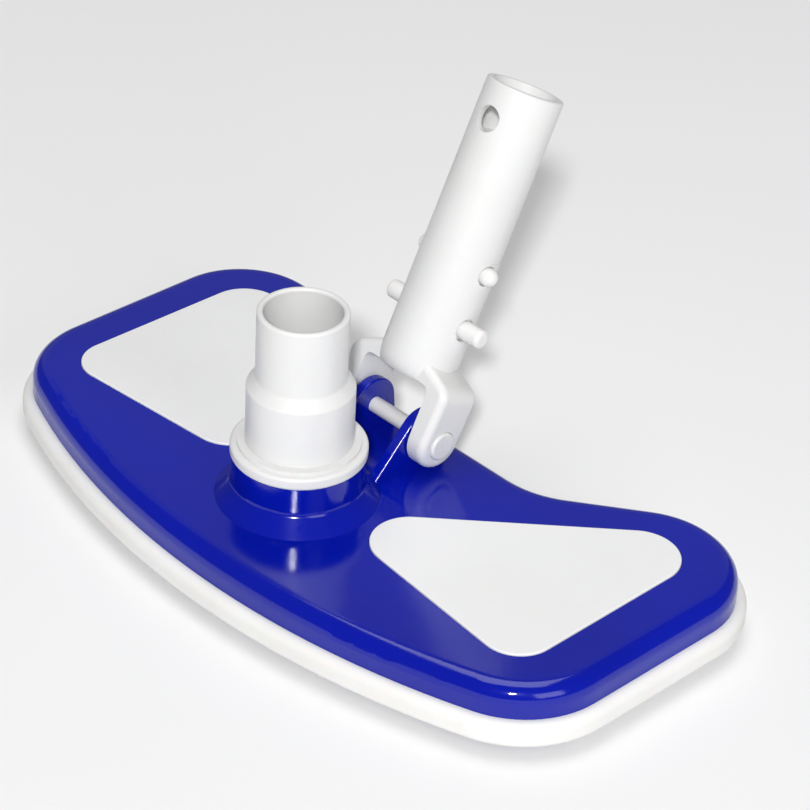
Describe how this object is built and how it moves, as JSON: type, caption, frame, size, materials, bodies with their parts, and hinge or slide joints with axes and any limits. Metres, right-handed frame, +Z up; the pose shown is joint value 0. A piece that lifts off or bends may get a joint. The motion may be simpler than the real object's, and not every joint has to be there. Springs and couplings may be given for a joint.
{
  "type": "pool vacuum head",
  "caption": "Weighted triangular pool vacuum head with brush strips, a swivelling hose spigot and a tilting fork handle with a spring clip for a pole.",
  "frame": {"origin": "on the swivel axis of the hose spigot, in the plane of the floor that the bristle tips stand on", "axes": "+Z up along the swivel axis, +Y towards the handle, +X along the head to the right as seen from the front, millimetres in the source and metres here"},
  "size_m": [0.2856, 0.1664, 0.1584],
  "materials": {
    "blue_shell": "glossy moulded ABS",
    "blue_base": "fine moulded texture",
    "bumper_vinyl": "soft satin vinyl",
    "white_cover": "satin moulded ABS",
    "white_abs": "satin moulded ABS",
    "white_pin": "satin acetal",
    "white_clip": "satin acetal",
    "acetal": "matte acetal",
    "brush_base": "matte polypropylene",
    "bristle": "nylon filament",
    "weight_steel": "zinc plated plate",
    "stainless": "stainless",
    "rubber": "nitrile"
  },
  "bodies": {
    "head": {"top_shell": "blue_shell", "bumper": "bumper_vinyl", "base_plate": "blue_base", "left_weight": "weight_steel", "right_weight": "weight_steel", "left_weight_cover": "white_cover", "right_weight_cover": "white_cover", "front_brush_base": "brush_base", "front_bristles": "bristle", "left_brush_base": "brush_base", "left_bristles": "bristle", "right_brush_base": "brush_base", "right_bristles": "bristle", "rear_left_brush_base": "brush_base", "rear_left_bristles": "bristle", "rear_right_brush_base": "brush_base", "rear_right_bristles": "bristle", "base_screws": "stainless"},
    "spigot": {"hose_spigot": "white_abs", "swivel_washer": "acetal", "swivel_o_ring": "rubber", "swivel_retainer": "white_abs", "retainer_screws": "stainless"},
    "handle": {"handle": "white_abs", "axle": "white_pin", "axle_cap": "white_pin", "clip_root": "white_clip"},
    "left_arm": {"left_clip_arm": "white_clip"},
    "right_arm": {"right_clip_arm": "white_clip"}
  },
  "joints": [
    {"name": "spigot_swivel", "type": "hinge", "parent": "head", "child": "spigot", "pos_m": [0, 0, 0.043], "axis": [0, 0, 1], "continuous": true},
    {"name": "handle_tilt", "type": "hinge", "parent": "head", "child": "handle", "pos_m": [0, 0.0467, 0.03765], "axis": [1, 0, 0], "range_deg": [-64, 35]},
    {"name": "left_clip_press", "type": "hinge", "parent": "handle", "child": "left_arm", "pos_m": [-0.01, 0.08876, 0.12505], "axis": [0, -0.9011, 0.4337], "range_deg": [0, 7.3], "stiffness_Nm_per_rad": 5},
    {"name": "right_clip_press", "type": "hinge", "parent": "handle", "child": "right_arm", "pos_m": [0.01, 0.08876, 0.12505], "axis": [0, 0.9011, -0.4337], "range_deg": [0, 7.3], "stiffness_Nm_per_rad": 5}
  ]
}
